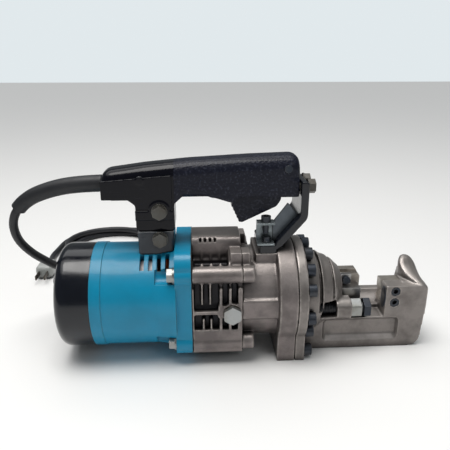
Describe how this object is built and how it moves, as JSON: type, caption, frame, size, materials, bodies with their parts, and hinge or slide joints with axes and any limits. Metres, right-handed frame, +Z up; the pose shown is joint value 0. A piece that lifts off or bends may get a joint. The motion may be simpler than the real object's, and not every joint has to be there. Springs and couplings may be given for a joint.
{
  "type": "rebar cutter",
  "caption": "Portable electro-hydraulic rebar cutter: motor barrel, finned pump case, cast cylinder, C-shaped jaw, closed top handle with trigger, mains cord.",
  "frame": {"origin": "on the floor, under the middle of the tool's bounding box without its cord", "axes": "+X along the tool from the motor to the jaw, +Z up, -Y the left side"},
  "size_m": [0.482, 0.434, 0.2128],
  "materials": {
    "cap_gloss": "gloss",
    "screw_black": "satin",
    "inner_alu": "satin",
    "blue_paint": "gloss",
    "gasket": "matte",
    "laminations": "satin",
    "copper": "satin",
    "brass": "satin",
    "carbon": "matte",
    "bearing_steel": "polished",
    "ground_steel": "satin",
    "inner_plastic": "matte",
    "zinc_steel": "satin",
    "cast_brown": "satin",
    "forged_brown": "satin",
    "spring_steel": "satin",
    "cutter_steel": "satin",
    "black_rubber": "matte",
    "cord_rubber": "matte",
    "handle_black": "gloss",
    "bracket_black": "gloss",
    "plug_plastic": "gloss"
  },
  "bodies": {
    "body": {"rear_cover": "cap_gloss", "rear_cover_screws": "screw_black", "rear_bearing_bracket": "inner_alu", "motor_housing": "blue_paint", "case_gasket": "gasket", "stator_core": "laminations", "field_coils": "copper", "brush_holders": "brass", "carbon_brushes": "carbon", "armature_bearings": "bearing_steel", "housing_bolts": "zinc_steel", "housing_washers": "zinc_steel", "pump_case": "cast_brown", "crank_bearings": "bearing_steel", "pump_block": "ground_steel", "plunger_spring": "spring_steel", "check_valve_balls": "bearing_steel", "oil_plug": "zinc_steel", "plug_washer": "copper", "oil_bladder": "black_rubber", "cylinder": "cast_brown", "cylinder_seal": "black_rubber", "return_spring": "spring_steel", "ram_bush": "brass", "c_frame": "forged_brown", "flange_bolts": "screw_black", "fixed_cutter": "cutter_steel", "cutter_set_screws": "screw_black", "stopper_nut": "zinc_steel", "handle_left": "handle_black", "handle_right": "handle_black", "handle_screws": "screw_black", "switch_body": "inner_plastic", "trigger_pin": "ground_steel", "rear_bracket": "bracket_black", "rear_bracket_bolts": "screw_black", "front_bracket": "bracket_black", "front_bracket_bolts": "zinc_steel", "stay_plate": "zinc_steel", "stay_bolts": "screw_black", "cord_guard": "black_rubber", "cord_tube": "cord_rubber", "cord_coil": "cord_rubber", "plug_body": "plug_plastic", "plug_blades": "brass"},
    "armature": {"armature_shaft": "ground_steel", "armature_core": "laminations", "armature_windings": "copper", "commutator": "copper", "cooling_fan": "inner_plastic"},
    "crankshaft": {"drive_gear": "ground_steel", "eccentric_shaft": "ground_steel", "eccentric_bearing": "bearing_steel"},
    "plunger": {"pump_plunger": "ground_steel"},
    "ram_assembly": {"ram": "ground_steel", "piston_seal": "black_rubber", "moving_cutter": "cutter_steel", "moving_cutter_screw": "screw_black"},
    "trigger_lever": {"trigger": "handle_black"},
    "stopper": {"stopper_bolt": "screw_black"}
  },
  "joints": [
    {"name": "ram_stroke", "type": "slide", "parent": "body", "child": "ram_assembly", "axis": [1, 0, 0], "range_m": [0, 0.023], "stiffness_N_per_m": 2500, "springref_m": -0.004, "deforming": ["return_spring"]},
    {"name": "trigger_pull", "type": "hinge", "parent": "body", "child": "trigger_lever", "pos_m": [0.031, 0, 0.1725], "axis": [0, 1, 0], "range_deg": [0, 9], "stiffness_Nm_per_rad": 0.6, "springref_deg": -8.59},
    {"name": "armature_spin", "type": "hinge", "parent": "body", "child": "armature", "pos_m": [-0.116, 0, 0.0625], "axis": [1, 0, 0], "continuous": true},
    {"name": "crank_turn", "type": "hinge", "parent": "body", "child": "crankshaft", "pos_m": [-0.031, 0, 0.0375], "axis": [1, 0, 0], "continuous": true},
    {"name": "plunger_stroke", "type": "slide", "parent": "body", "child": "plunger", "axis": [0, 0, 1], "range_m": [0, 0.003], "stiffness_N_per_m": 400, "springref_m": -0.004, "deforming": ["plunger_spring"]},
    {"name": "stopper_adjust", "type": "slide", "parent": "body", "child": "stopper", "axis": [1, 0, 0], "range_m": [0, 0.012]}
  ],
  "couplings": [
    {"joint": "crank_turn", "follows": "armature_spin", "ratio": -0.25}
  ]
}
